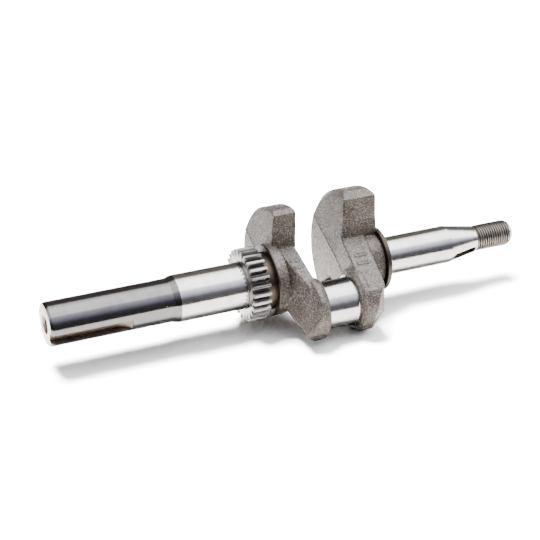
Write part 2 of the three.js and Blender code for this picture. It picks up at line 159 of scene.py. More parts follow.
# ---- settings -------------------------------------------------------------------------------
def length(name, text, value):
    return bpy.props.FloatProperty(
        name=name, description=text, default=value, min=0.0, unit="LENGTH", subtype="DISTANCE", precision=5
    )


def colour(name, text, value):
    return bpy.props.FloatVectorProperty(
        name=name, description=text, default=value, size=4, min=0.0, max=1.0, subtype="COLOR"
    )


class CrankShaftSizes(bpy.types.PropertyGroup):
    key_width: length("Drive key width", "Width of the drive end's keyway", 6.35 * MM)
    key_depth: length("Drive key depth", "Depth of the drive end's keyway", 3.58 * MM)
    keyway_length: length("Drive keyway length", "From the end face to the top of its ramp", 47.0 * MM)
    cutter_radius: length("Cutter radius", "Radius of the disc cutter that leaves the ramp", 19.0 * MM)
    hole_diameter: length("Tapped hole", "Diameter of the tapped hole in the drive end", 8.6 * MM)
    mouth_diameter: length("Hole mouth", "Diameter of the tapped hole's countersunk mouth", 11.0 * MM)
    hole_depth: length("Hole depth", "Depth of the tapped hole", 25.0 * MM)
    cone_length: length("Lead cone", "Length of the cone before the drive journal", 4.0 * MM)
    taper_key_width: length("Taper key width", "Width of the keyway in the taper", 4.76 * MM)
    taper_key_depth: length("Taper key depth", "Depth of the keyway in the taper", 2.4 * MM)
    taper_key_start: length("Taper keyway start", "From the large end of the taper", 1.6 * MM)
    taper_key_length: length("Taper keyway length", "Length of the keyway in the taper", 15.9 * MM)


class CrankGearSizes(bpy.types.PropertyGroup):
    teeth: bpy.props.IntProperty(name="Teeth", description="Teeth on the timing gear", default=26, min=8)
    tip_diameter: length("Tip diameter", "Over the tips of the teeth", 42.6 * MM)
    root_diameter: length("Root diameter", "At the bottom of the gaps", 35.6 * MM)
    bore_diameter: length("Bore", "Bore of the timing gear", 27.9 * MM)
    turn: bpy.props.FloatProperty(
        name="Turn", description="Where the first tooth stands", default=math.radians(3.2), unit="ROTATION"
    )


class CrankThreadSizes(bpy.types.PropertyGroup):
    pitch: length("Pitch", "Distance between threads", 1.5875 * MM)
    depth: length("Depth", "Depth of the thread groove", 0.87 * MM)
    relief_diameter: length("Relief diameter", "Groove between the taper and the thread", 14.6 * MM)
    full_length: length("Full thread", "Length of thread before the tip's chamfer", 22.3 * MM)
    tip_diameter: length("Tip diameter", "Diameter of the end face", 13.6 * MM)


class CrankWebSizes(bpy.types.PropertyGroup):
    voxel: length("Skin detail", "Mesh size of the forged skin", 0.55 * MM)
    flash: length("Flash height", "Height of the trimmed flash on the parting line", 0.32 * MM)
    flash_width: length("Flash width", "Half width of the trimmed flash", 0.75 * MM)
    skin: length("Skin waviness", "Depth of the waves in the forged skin", 0.16 * MM)


class CrankColours(bpy.types.PropertyGroup):
    forged: colour("Forged steel", "Colour of the forged skin", (0.0265, 0.0225, 0.0185, 1))
    # Painted light: glints on the grain's high spots and the highlight on the sides that face up.
    forged_painted_light: colour("Forged highlights", "Painted glints on the skin's high spots and painted highlight on the sides that face up", (0.125, 0.119, 0.117, 1))
    ground: colour("Ground steel", "Colour of the ground journals", (0.27, 0.266, 0.262, 1))
    turned: colour("Turned steel", "Colour of the turned shaft", (0.07, 0.069, 0.07, 1))
    end_face: colour("End face", "Colour of the faced drive end", (0.17, 0.152, 0.128, 1))
    # Painted shade on the machined faces near the webs: the gear's rear face, the shoulder and boss, and the
    # flange.
    oiled: colour("Oiled steel", "Painted shade on machined faces near the webs", (0.030, 0.024, 0.019, 1))
    gear: colour("Gear steel", "Colour of the timing gear", (0.17, 0.163, 0.155, 1))
    # Painted shade between the gear's teeth.
    gear_gap_shade: colour("Gear gaps", "Colour between the teeth", (0.045, 0.043, 0.043, 1))
    thread: colour("Thread steel", "Colour of the thread's crests", (0.15, 0.132, 0.12, 1))
    # Painted shade: the dark colour that stands in for shade in the thread's grooves, in the forged skin's
    # low spots and on the gear's key.
    shadow: colour("Painted shade", "Painted shade for grooves, pits and the key", (0.012, 0.010, 0.009, 1))
    keyway: colour("Keyways", "Colour of the milled keyways and the tapped hole", (0.10, 0.08, 0.064, 1))
    floor: colour("Floor", "Colour of the studio floor", (0.92, 0.92, 0.92, 1))
    floor_bounce: colour("Floor reflections", "Floor colour that the metal reflects", (0.45, 0.435, 0.415, 1))
    # Painted shade: the floor that the metal reflects is darker behind the part.
    floor_behind_shade: colour("Floor behind", "The same, behind the part", (0.17, 0.165, 0.16, 1))


# What a machined finish is made of: the colour's name above, roughness, how far it varies, rings to
# the metre, and how deep they look.
FINISHES = {
    "Turned steel": ("turned", 0.12, 0.05, 2600.0, 0.35),
    "End face steel": ("end_face", 0.35, 0.05, 900.0, 0.2),
    "Keyway steel": ("keyway", 0.42, 0.08, 1200.0, 0.4),
    "Ground steel": ("ground", 0.14, 0.035, 5200.0, 0.12),
    "Polished steel": ("ground", 0.2, 0.05, 3600.0, 0.2),
    "Taper steel": ("ground", 0.16, 0.04, 4200.0, 0.15),
    "Tip steel": ("ground", 0.22, 0.05, 2200.0, 0.2),
    "Oiled steel": ("oiled", 0.4, 0.08, 900.0, 0.3),
    "Gear steel": ("gear", 0.33, 0.08, 1500.0, 0.5),
    "Gear face steel": ("gear", 0.3, 0.05, 900.0, 0.2),
    "Key steel": ("shadow", 0.45, 0.05, 900.0, 0.3),
    "Thread steel": ("thread", 0.28, 0.06, 1600.0, 0.3),
}


# ---- mesh helpers ---------------------------------------------------------------------------
def add_object(name, mesh):
    piece = bpy.data.objects.new(name, mesh)
    bpy.context.scene.collection.objects.link(piece)
    return piece


def mesh_from(name, bm):
    mesh = bpy.data.meshes.new(name)
    bm.to_mesh(mesh)
    bm.free()
    return mesh


def smooth_with_edges(mesh, angle=30.0):
    mesh.shade_smooth()
    mesh.set_sharp_from_angle(angle=math.radians(angle))


def turned_mesh(name, profile, around=AROUND):
    """A turned solid about the X axis, from (station, radius) pairs in metres that start and end on it."""
    bm = bmesh.new()
    rings = []
    for x, r in profile:
        if r < 1e-7:
            rings.append([bm.verts.new((x, 0, 0))])
            continue
        ring = [2 * math.pi * i / around for i in range(around)]
        rings.append([bm.verts.new((x, r * math.cos(a), r * math.sin(a))) for a in ring])
    for before, after in zip(rings, rings[1:]):
        for i in range(around):
            j = (i + 1) % around
            if len(before) == 1:
                bm.faces.new((before[0], after[j], after[i]))
            elif len(after) == 1:
                bm.faces.new((before[i], before[j], after[0]))
            else:
                bm.faces.new((before[i], before[j], after[j], after[i]))
    bmesh.ops.recalc_face_normals(bm, faces=bm.faces)
    return mesh_from(name, bm)


def turned_piece(name, profile):
    return add_object(name, turned_mesh(name, profile))


def fillet(wall, radius, size, way=1):
    """The points of a fillet that runs down from a wall to a shaft, which lies on its right for way 1."""
    points = []
    for i in range(FILLET_STEPS + 1):
        a = math.pi / 2 * i / FILLET_STEPS
        points.append((wall + way * size * (1 - math.cos(a)), radius + size * (1 - math.sin(a))))
    return points


def rounded(profile, corners, size, steps=4):
    """The profile with the numbered corners rounded off, each by an arc that starts size away."""
    points = []
    for i, (x, r) in enumerate(profile):
        if i not in corners:
            points.append((x, r))
            continue
        here = Vector((x, r))
        start = here + (Vector(profile[i - 1]) - here).normalized() * size
        end = here + (Vector(profile[i + 1]) - here).normalized() * size
        for k in range(steps + 1):
            t = k / steps
            point = start * (1 - t) ** 2 + here * 2 * t * (1 - t) + end * t**2
            points.append((point.x, point.y))
    return points


def baked(piece):
    """Replaces a piece's mesh with what its modifiers make of it, and removes them."""
    depsgraph = bpy.context.evaluated_depsgraph_get()
    mesh = bpy.data.meshes.new_from_object(piece.evaluated_get(depsgraph), depsgraph=depsgraph)
    piece.modifiers.clear()
    piece.data = mesh
    return mesh


def cut(piece, *cutters):
    """Cuts other meshes out of a piece."""
    tools = []
    for mesh in cutters:
        tool = add_object("cutter", mesh)
        tools.append(tool)
        modifier = piece.modifiers.new("cut", "BOOLEAN")
        modifier.operation = "DIFFERENCE"
        modifier.solver = "EXACT"
        modifier.object = tool
    baked(piece)
    for tool in tools:
        bpy.data.objects.remove(tool)


def mesh_between(name, first, second):
    """A closed mesh between two outlines that have the same number of points."""
    bm = bmesh.new()
    ends = [[bm.verts.new(point) for point in outline] for outline in (first, second)]
    bm.faces.new(ends[0])
    bm.faces.new(list(reversed(ends[1])))
    for i in range(len(first)):
        j = (i + 1) % len(first)
        bm.faces.new((ends[0][i], ends[1][i], ends[1][j], ends[0][j]))
    bmesh.ops.recalc_face_normals(bm, faces=bm.faces)
    return mesh_from(name, bm)


def outward(mesh):
    """Merges the points that meet, and turns every face outwards."""
    bm = bmesh.new()
    bm.from_mesh(mesh)
    bmesh.ops.remove_doubles(bm, verts=bm.verts, dist=1e-7)
    bmesh.ops.recalc_face_normals(bm, faces=bm.faces)
    bm.to_mesh(mesh)
    bm.free()


def finish_piece(piece, node_names, material, angle=30.0):
    """Lays the piece down, gives it its finish, and ties it to the CAD part."""
    piece.data.transform(LAY_DOWN)
    piece.data.materials.clear()
    piece.data.materials.append(material)
    smooth_with_edges(piece.data, angle)
    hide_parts(*node_names)
    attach(piece, ROOT)
    return piece


# ---- shader helpers -------------------------------------------------------------------------
def node(tree, kind, **values):
    made = tree.nodes.new(kind)
    for key, value in values.items():
        setattr(made, key, value)
    return made


def feed(tree, sockets, values):
    """Gives each socket its own number or colour, or links it to another node's output."""
    for socket, value in zip(sockets, values):
        if isinstance(value, (int, float, tuple)):
            socket.default_value = value
        elif value is not None:
            tree.links.new(value, socket)


def math_node(tree, operation, first, second=None, clamp=False):
    made = node(tree, "ShaderNodeMath", operation=operation, use_clamp=clamp)
    feed(tree, made.inputs, (first, second))
    return made.outputs[0]


def times(tree, first, second):
    return math_node(tree, "MULTIPLY", first, second)


def minus(tree, first, second):
    return math_node(tree, "SUBTRACT", first, second)


def plus(tree, first, second):
    return math_node(tree, "ADD", first, second)


def mix_shader(tree, share, first, second):
    made = node(tree, "ShaderNodeMixShader")
    feed(tree, made.inputs, (share, first.outputs[0], second.outputs[0]))
    return made.outputs[0]


def map_range(tree, value, from_min, from_max, to_min=0.0, to_max=1.0):
    made = node(tree, "ShaderNodeMapRange", interpolation_type="SMOOTHSTEP")
    names = ("Value", "From Min", "From Max", "To Min", "To Max")
    feed(tree, [made.inputs[name] for name in names], (value, from_min, from_max, to_min, to_max))
    return made.outputs["Result"]


def mix_colour(tree, factor, first, second):
    made = node(tree, "ShaderNodeMix", data_type="RGBA")
    # A Mix node keeps its colour sockets after those for numbers and vectors.
    feed(tree, (made.inputs[0], made.inputs[6], made.inputs[7]), (factor, first, second))
    return made.outputs[2]


def combine(tree, x=None, y=None, z=None):
    made = node(tree, "ShaderNodeCombineXYZ")
    feed(tree, made.inputs, (x, y, z))
    return made.outputs[0]


def noise_value(tree, vector, scale, detail=3.0, rough=0.5):
    made = node(tree, "ShaderNodeTexNoise", noise_dimensions="3D")
    made.inputs["Scale"].default_value = scale
    made.inputs["Detail"].default_value = detail
    made.inputs["Roughness"].default_value = rough
    tree.links.new(vector, made.inputs["Vector"])
    return made.outputs["Fac"]


def new_group(name, inputs, outputs):
    tree = bpy.data.node_groups.new(name, "ShaderNodeTree")
    for label, kind, value in inputs:
        socket = tree.interface.new_socket(name=label, in_out="INPUT", socket_type=kind)
        if value is not None:
            socket.default_value = value
    for label, kind in outputs:
        tree.interface.new_socket(name=label, in_out="OUTPUT", socket_type=kind)
    return tree, tree.nodes.new("NodeGroupInput"), tree.nodes.new("NodeGroupOutput")


def lathe_marks_group():
    """Fine rings left by a lathe or a grinding wheel: a height and a broad cloudy mask."""
    tree, given, out = new_group(
        "Lathe marks",
        [("Rings", "NodeSocketFloat", 3000.0), ("Drift", "NodeSocketFloat", 30.0)],
        [("Height", "NodeSocketFloat"), ("Cloud", "NodeSocketFloat")],
    )
    place = node(tree, "ShaderNodeTexCoord").outputs["Object"]
    parts = node(tree, "ShaderNodeSeparateXYZ")
    tree.links.new(place, parts.inputs[0])
    stretched = combine(tree, *(
        times(tree, parts.outputs[axis], given.outputs[scale])
        for axis, scale in (("X", "Rings"), ("Y", "Drift"), ("Z", "Drift"))))
    tree.links.new(noise_value(tree, stretched, 1.0, 4.0, 0.65), out.inputs["Height"])
    tree.links.new(noise_value(tree, place, 160.0, 3.0, 0.6), out.inputs["Cloud"])
    return tree


def axis_depth_group():
    """How far a spot lies below a round surface about the main axis: 0 on it, 1 at the stated depth."""
    tree, given, out = new_group(
        "Depth below round",
        [("Radius", "NodeSocketFloat", 0.0127), ("Depth", "NodeSocketFloat", 0.001)],
        [("Mask", "NodeSocketFloat")],
    )
    place = node(tree, "ShaderNodeTexCoord").outputs["Object"]
    parts = node(tree, "ShaderNodeSeparateXYZ")
    tree.links.new(place, parts.inputs[0])
    size = node(tree, "ShaderNodeVectorMath", operation="LENGTH")
    tree.links.new(combine(tree, None, parts.outputs["Y"], parts.outputs["Z"]), size.inputs[0])
    below = minus(tree, given.outputs["Radius"], size.outputs["Value"])
    tree.links.new(math_node(tree, "DIVIDE", below, given.outputs["Depth"], clamp=True), out.inputs["Mask"])
    return tree


SHADER_GROUPS = {"Lathe marks": lathe_marks_group, "Depth below round": axis_depth_group}


def use_group(tree, name, **values):
    group = bpy.data.node_groups.get(name) or SHADER_GROUPS[name]()
    made = node(tree, "ShaderNodeGroup", node_tree=group)
    for key, value in values.items():
        made.inputs[key].default_value = value
    return made


def scaled(shade, share):
    return tuple(c * share for c in shade[:3]) + (1.0,)


def new_material(name, metallic, roughness):
    material = bpy.data.materials.new(name)
    material.use_nodes = True
    tree = material.node_tree
    shader = tree.nodes["Principled BSDF"]
    shader.inputs["Metallic"].default_value = metallic
    shader.inputs["Roughness"].default_value = roughness
    return material, tree, shader


def bump_into(tree, shader, height, strength, distance):
    made = node(tree, "ShaderNodeBump")
    made.inputs["Strength"].default_value = strength
    made.inputs["Distance"].default_value = distance
    tree.links.new(height, made.inputs["Height"])
    tree.links.new(made.outputs[0], shader.inputs["Normal"])


def machined(name, radius=None, depth=None, gap="shadow"):
    """Turned or ground steel; below the given radius it takes a painted shade, the colour that gap names."""
    known = bpy.data.materials.get(name)
    if known:
        return known
    colours = bpy.context.scene.crank_colours
    shade, rough, spread, rings, bump = FINISHES[name]
    base = getattr(colours, shade)
    material, tree, shader = new_material(name, 1.0, rough)
    marks = use_group(tree, "Lathe marks", Rings=rings)
    cloud = map_range(tree, marks.outputs["Cloud"], 0.35, 0.7)
    tint = mix_colour(tree, cloud, tuple(base), scaled(base, 0.86))
    level = map_range(tree, marks.outputs["Height"], 0.3, 0.7, rough - spread, rough + spread)
    if radius:
        # Painted shade below the radius, in the grooves and gaps.
        below = use_group(tree, "Depth below round", Radius=radius, Depth=depth).outputs["Mask"]
        tint = mix_colour(tree, below, tint, tuple(getattr(colours, gap)))
        level = plus(tree, level, times(tree, below, 0.25))
    tree.links.new(tint, shader.inputs["Base Color"])
    tree.links.new(level, shader.inputs["Roughness"])
    bump_into(tree, shader, marks.outputs["Height"], bump, 0.02 * MM)
    return material


def forged_material():
    known = bpy.data.materials.get("Forged steel")
    if known:
        return known
    colours = bpy.context.scene.crank_colours
    material, tree, shader = new_material("Forged steel", 0.9, 0.5)
    place = node(tree, "ShaderNodeTexCoord").outputs["Object"]
    cloud = noise_value(tree, place, 90.0, 4.0, 0.6)
    grain = noise_value(tree, place, 1300.0, 3.0, 0.75)
    # Painted glints on the grain's high spots, where the bump is high too.
    painted_glints = map_range(tree, grain, 0.53, 0.65)
    base = mix_colour(tree, map_range(tree, cloud, 0.3, 0.7), tuple(colours.forged),
                      scaled(colours.forged, 1.6))
    base = mix_colour(tree, times(tree, painted_glints, 0.8), base, tuple(colours.forged_painted_light))
    # Painted highlight: the arms' sides and the weights' tops, which face up to the light, are brighter than
    # the rest.
    facing = node(tree, "ShaderNodeVectorMath", operation="DOT_PRODUCT")
    tree.links.new(node(tree, "ShaderNodeNewGeometry").outputs["Normal"], facing.inputs[0])
    facing.inputs[1].default_value = LAY_DOWN.to_3x3() @ Vector((0, -1, 0))
    painted_highlight = times(tree, map_range(tree, facing.outputs["Value"], 0.9, 0.99), PAINTED_HIGHLIGHT_SHARE)
    base = mix_colour(tree, painted_highlight, base, tuple(colours.forged_painted_light))
    # Painted shade in the grain's low spots, where the bump is low too.
    pit = map_range(tree, grain, 0.47, 0.37)
    base = mix_colour(tree, times(tree, pit, 0.85), base, tuple(colours.shadow))
    tree.links.new(base, shader.inputs["Base Color"])
    tree.links.new(map_range(tree, grain, 0.3, 0.75, 0.6, 0.3), shader.inputs["Roughness"])
    pits = noise_value(tree, place, 900.0, 4.0, 0.7)
    height = plus(tree, times(tree, grain, 0.6), pits)
    bump_into(tree, shader, height, 1.0, 0.45 * MM)
    return material


# ---- geometry nodes -------------------------------------------------------------------------
def geometry_tree(name, inputs):
    tree = bpy.data.node_groups.new(name, "GeometryNodeTree")
    tree.interface.new_socket(name="Geometry", in_out="INPUT", socket_type="NodeSocketGeometry")
    for label, kind in inputs:
        tree.interface.new_socket(name=label, in_out="INPUT", socket_type=kind)
    tree.interface.new_socket(name="Geometry", in_out="OUTPUT", socket_type="NodeSocketGeometry")
    return tree, tree.nodes.new("NodeGroupInput"), tree.nodes.new("NodeGroupOutput")


def run_tree(name, tree, values):
    """A plain mesh from a geometry tree, run with these values."""
    holder = add_object(name, bpy.data.meshes.new(name))
    modifier = holder.modifiers.new("build", "NODES")
    modifier.node_group = tree
    for item in tree.interface.items_tree:
        if item.in_out == "INPUT" and item.name in values:
            modifier[item.identifier] = values[item.name]
    holder.update_tag()
    bpy.context.view_layer.update()
    baked(holder)
    return holder


def close_tree(tree, geometry, given, out):
    """Every tree ends the same way: merge, realise, set the material."""
    merge = node(tree, "GeometryNodeMergeByDistance")
    merge.inputs["Distance"].default_value = 1e-6
    tree.links.new(geometry, merge.inputs["Geometry"])
    real = node(tree, "GeometryNodeRealizeInstances")
    tree.links.new(merge.outputs[0], real.inputs["Geometry"])
    coat = node(tree, "GeometryNodeSetMaterial")
    tree.links.new(real.outputs[0], coat.inputs["Geometry"])
    tree.links.new(given.outputs["Material"], coat.inputs["Material"])
    tree.links.new(coat.outputs[0], out.inputs["Geometry"])


def gear_tree():
    """A toothed outline with a round bore, filled and given its width, standing on Z = 0."""
    samples = 24                         # points to a tooth
    bore_points = 128
    root_end, tip_start = 0.26, 0.72     # shares of the way from the middle of a gap to that of a tooth
    tree, given, out = geometry_tree("Timing gear", [
        ("Teeth", "NodeSocketInt"), ("Tip Radius", "NodeSocketFloat"), ("Root Radius", "NodeSocketFloat"),
        ("Bore Radius", "NodeSocketFloat"), ("Width", "NodeSocketFloat"), ("Turn", "NodeSocketFloat"),
        ("Material", "NodeSocketMaterial"),
    ])
    count = times(tree, given.outputs["Teeth"], samples)
    ring = node(tree, "GeometryNodeCurvePrimitiveCircle")
    tree.links.new(count, ring.inputs["Resolution"])
    index = node(tree, "GeometryNodeInputIndex").outputs[0]
    turn = times(tree, math_node(tree, "DIVIDE", index, count), 2 * math.pi)
    angle = plus(tree, turn, given.outputs["Turn"])
    share = math_node(tree, "FRACT", math_node(tree, "DIVIDE", index, samples))
    off_middle = math_node(tree, "ABSOLUTE", minus(tree, share, 0.5))
    across = times(tree, off_middle, 2.0)
    # across is 1 in the middle of a tooth and 0 in the middle of a gap.
    reach = node(tree, "ShaderNodeMapRange", interpolation_type="LINEAR")
    tree.links.new(across, reach.inputs["Value"])
    reach.inputs["From Min"].default_value = root_end
    reach.inputs["From Max"].default_value = tip_start
    tree.links.new(given.outputs["Root Radius"], reach.inputs["To Min"])
    tree.links.new(given.outputs["Tip Radius"], reach.inputs["To Max"])
    radius = reach.outputs["Result"]
    place = combine(tree, times(tree, math_node(tree, "COSINE", angle), radius),
                    times(tree, math_node(tree, "SINE", angle), radius))
    toothed = node(tree, "GeometryNodeSetPosition")
    tree.links.new(ring.outputs["Curve"], toothed.inputs["Geometry"])
    tree.links.new(place, toothed.inputs["Position"])
    bore = node(tree, "GeometryNodeCurvePrimitiveCircle")
    bore.inputs["Resolution"].default_value = bore_points
    tree.links.new(given.outputs["Bore Radius"], bore.inputs["Radius"])
    both = node(tree, "GeometryNodeJoinGeometry")
    tree.links.new(toothed.outputs[0], both.inputs[0])
    tree.links.new(bore.outputs["Curve"], both.inputs[0])
    filled = node(tree, "GeometryNodeFillCurve")
    filled.mode = "NGONS"
    tree.links.new(both.outputs[0], filled.inputs["Curve"])
    thick = node(tree, "GeometryNodeExtrudeMesh")
    thick.inputs["Individual"].default_value = False
    tree.links.new(filled.outputs[0], thick.inputs["Mesh"])
    tree.links.new(combine(tree, 0.0, 0.0, 1.0), thick.inputs["Offset"])
    tree.links.new(given.outputs["Width"], thick.inputs["Offset Scale"])
    under = node(tree, "GeometryNodeFlipFaces")
    tree.links.new(filled.outputs[0], under.inputs["Mesh"])
    whole = node(tree, "GeometryNodeJoinGeometry")
    tree.links.new(thick.outputs["Mesh"], whole.inputs[0])
    tree.links.new(under.outputs[0], whole.inputs[0])
    close_tree(tree, whole.outputs[0], given, out)
    return tree


def thread_tree():
    """A helical thread that starts at a relief groove and is cut away by the chamfer of a plain tip."""
    around, along = 161, 560             # points of the grid that is rolled up
    groove_from, groove_to = 0.14, 0.88  # shares of the way from the middle of a groove to that of a crest
    half_row = 0.4 / (along - 1)
    tree, given, out = geometry_tree("Threaded end", [
        ("Start", "NodeSocketFloat"), ("Length", "NodeSocketFloat"), ("Crest Radius", "NodeSocketFloat"),
        ("Relief Radius", "NodeSocketFloat"), ("Tip Radius", "NodeSocketFloat"), ("Pitch", "NodeSocketFloat"),
        ("Depth", "NodeSocketFloat"), ("Full Length", "NodeSocketFloat"), ("Material", "NodeSocketMaterial"),
    ])
    grid = node(tree, "GeometryNodeMeshGrid")
    grid.inputs["Vertices X"].default_value = around
    grid.inputs["Vertices Y"].default_value = along
    parts = node(tree, "ShaderNodeSeparateXYZ")
    tree.links.new(node(tree, "GeometryNodeInputPosition").outputs[0], parts.inputs[0])
    u = plus(tree, parts.outputs["X"], 0.5)
    v = plus(tree, parts.outputs["Y"], 0.5)
    # The first and last rows close the ends, so the shape runs between them.
    run = node(tree, "ShaderNodeMapRange")
    tree.links.new(v, run.inputs["Value"])
    run.inputs["From Min"].default_value = 1 / (along - 1)
    run.inputs["From Max"].default_value = 1 - 1 / (along - 1)
    station = times(tree, run.outputs["Result"], given.outputs["Length"])
    turns = minus(tree, math_node(tree, "DIVIDE", station, given.outputs["Pitch"]), u)
    # Eight turns more keep the count above zero, where a fraction is what is meant.
    wave = math_node(tree, "FRACT", plus(tree, turns, 8.0))
    off_middle = math_node(tree, "ABSOLUTE", minus(tree, wave, 0.5))
    crest = times(tree, off_middle, 2.0)
    groove = map_range(tree, crest, groove_from, groove_to, 1.0, 0.0)
    threaded = minus(tree, given.outputs["Crest Radius"], times(tree, groove, given.outputs["Depth"]))
    past = math_node(tree, "MAXIMUM", minus(tree, station, given.outputs["Full Length"]), 0.0)
    narrowing = times(tree, past, TIP_SLOPE)
    chamfer = minus(tree, given.outputs["Crest Radius"], narrowing)
    chamfer = math_node(tree, "MAXIMUM", chamfer, given.outputs["Tip Radius"])
    edge_start = minus(tree, given.outputs["Length"], TIP_EDGE)
    edge = minus(tree, station, edge_start)
    chamfer = minus(tree, chamfer, math_node(tree, "MAXIMUM", edge, 0.0))
    past_relief = math_node(tree, "MAXIMUM", minus(tree, station, RELIEF_LENGTH), 0.0)
    relief = plus(tree, given.outputs["Relief Radius"], past_relief)
    radius = math_node(tree, "MINIMUM", math_node(tree, "MINIMUM", threaded, chamfer), relief)
    inside = times(tree, math_node(tree, "GREATER_THAN", v, half_row),
                   math_node(tree, "LESS_THAN", v, 1 - half_row))
    radius = times(tree, radius, inside)
    angle = times(tree, u, 2 * math.pi)
    place = combine(tree, plus(tree, station, given.outputs["Start"]),
                    times(tree, math_node(tree, "COSINE", angle), radius),
                    times(tree, math_node(tree, "SINE", angle), radius))
    shaped = node(tree, "GeometryNodeSetPosition")
    tree.links.new(grid.outputs["Mesh"], shaped.inputs["Geometry"])
    tree.links.new(place, shaped.inputs["Position"])
    close_tree(tree, shaped.outputs[0], given, out)
    return tree


# ---- operators ------------------------------------------------------------------------------
class CRANK_OT_drive_end(bpy.types.Operator):
    """Builds the keyed drive shaft, its tapped hole and its ground journal"""

    bl_idname = "crank.drive_end"
    bl_label = "Drive end"

    def execute(self, context):
        sizes = context.scene.crank_shafts
        end, cone_end = SHAFT_LOW.x, SHAFT_HIGH.x
        journal_r = (JOURNAL_HIGH.z - JOURNAL_LOW.z) / 2
        profile = [
            (end, 0), (end, SHAFT_RADIUS - END_CHAMFER_DEPTH), (end + END_CHAMFER, SHAFT_RADIUS),
            (cone_end - sizes.cone_length, SHAFT_RADIUS), (cone_end, journal_r - 0.05 * MM),
            (cone_end, 0),
        ]
        shaft = turned_piece("drive_shaft", rounded(profile, (1, 2, 3), 0.25 * MM))
        floor = SHAFT_RADIUS - sizes.key_depth
        cutter = sizes.cutter_radius
        ramp = math.sqrt(cutter**2 - (cutter - sizes.key_depth) ** 2)
        ramp_start = end + sizes.keyway_length - ramp
        outline = [(end - PAST_END, -floor), (ramp_start, -floor)]
        for i in range(1, RAMP_STEPS + 1):
            a = math.radians(90 - RAMP_SWEEP * i / RAMP_STEPS)
            outline.append((ramp_start + cutter * math.cos(a), -floor - cutter + cutter * math.sin(a)))
        outline += [(outline[-1][0], -floor - cutter), (end - PAST_END, -floor - cutter)]
        half = sizes.key_width / 2
        keyway = mesh_between("keyway", *([(x, y, z) for x, z in outline] for y in (-half, half)))
        keyway.transform(Matrix.Rotation(KEYWAY_TURN, 4, "X"))
        hole_r, mouth_r = sizes.hole_diameter / 2, sizes.mouth_diameter / 2
        x = end + mouth_r - hole_r
        rings = [(end - PAST_END, 0), (end - PAST_END, mouth_r + PAST_END), (end, mouth_r), (x, hole_r)]
        while x < end + sizes.hole_depth - 2 * TAP_PITCH:
            rings += [(x + 0.5 * TAP_PITCH, hole_r + TAP_THREAD_DEPTH), (x + TAP_PITCH, hole_r)]
            x += TAP_PITCH
        rings += [(end + sizes.hole_depth, hole_r), (end + sizes.hole_depth + TAP_POINT, 0)]
        pit = [(0, 0), (0, DIMPLE_RADIUS), (DIMPLE_RADIUS, DIMPLE_RADIUS * 0.6), (DIMPLE_RADIUS, 0)]
        dimple = turned_mesh("dimple", pit, 24)
        dimple.transform(Matrix.Translation((cone_end - DIMPLE_BACK, 0, 0))
                         @ Matrix.Rotation(DIMPLE_TURN, 4, "X")
                         @ Matrix.Translation((0, 0, -SHAFT_RADIUS))
                         @ Matrix.Rotation(math.radians(-90), 4, "Y")
                         @ Matrix.Translation((-DIMPLE_RADIUS / 2, 0, 0)))
        cut(shaft, keyway, turned_mesh("hole", rings, 96), dimple)
        finish_piece(shaft, ["pto_shaft"], machined("Turned steel"))
        shaft.data.materials.append(machined("Keyway steel"))
        shaft.data.materials.append(machined("End face steel"))
        for face in shaft.data.polygons:
            x, y, z = face.center
            if face.normal.x < -0.9:
                face.material_index = 2
            elif x > end + END_CHAMFER + 0.1 * MM and math.hypot(y, z) < SHAFT_RADIUS - 0.15 * MM:
                face.material_index = 1
            elif math.hypot(y, z) < mouth_r + 0.05 * MM:
                face.material_index = 1

        start, seat_end = cone_end - 0.02 * MM, JOURNAL_HIGH.x - 0.05 * MM
        journal = turned_piece("drive_journal", [
            (start, 0), (start, journal_r - 0.08 * MM), (cone_end + 0.3 * MM, journal_r),
            (GEAR_LOW.x - 0.1 * MM, journal_r), (seat_end, journal_r), (seat_end, 0),
        ])
        finish_piece(journal, ["pto_journal"], machined("Ground steel"))
        return {"FINISHED"}


class CRANK_OT_timing_gear(bpy.types.Operator):
    """Builds the timing gear's teeth and bore, and finishes its key"""

    bl_idname = "crank.timing_gear"
    bl_label = "Timing gear"

    def execute(self, context):
        sizes = context.scene.crank_gear
        tip_r = sizes.tip_diameter / 2
        # Below the tips the gaps between the teeth take a painted shade.
        steel = machined("Gear steel", tip_r - 0.2 * MM, GAP_SHADE_DEPTH, "gear_gap_shade")
        gear = run_tree("timing_gear_teeth", gear_tree(), {
            "Teeth": sizes.teeth, "Tip Radius": tip_r, "Root Radius": sizes.root_diameter / 2,
            "Bore Radius": sizes.bore_diameter / 2, "Width": GEAR_HIGH.x - GEAR_LOW.x,
            "Turn": sizes.turn, "Material": steel,
        })
        outward(gear.data)
        # The tree's X, Y and Z become Y, Z and X.
        turn = Matrix(((0, 0, 1, GEAR_LOW.x), (1, 0, 0, 0), (0, 1, 0, 0), (0, 0, 0, 1)))
        gear.data.transform(turn)
        bevel = gear.modifiers.new("edges", "BEVEL")
        bevel.width = 0.28 * MM
        bevel.segments = 2
        bevel.limit_method = "ANGLE"
        bevel.angle_limit = math.radians(50)
        baked(gear)
        finish_piece(gear, ["timing_gear"], steel, 25.0)
        gear.data.materials.append(machined("Gear face steel"))
        gear.data.materials.append(machined("Oiled steel"))
        # The gear's rear face, towards the web, takes the painted shade.
        for face in gear.data.polygons:
            if abs(face.normal.x) > 0.8:
                face.material_index = 1 if face.normal.x < 0 else 2
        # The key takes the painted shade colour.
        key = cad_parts["timing_gear_key"]
        key.data.materials.clear()
        key.data.materials.append(machined("Key steel"))
        return {"FINISHED"}


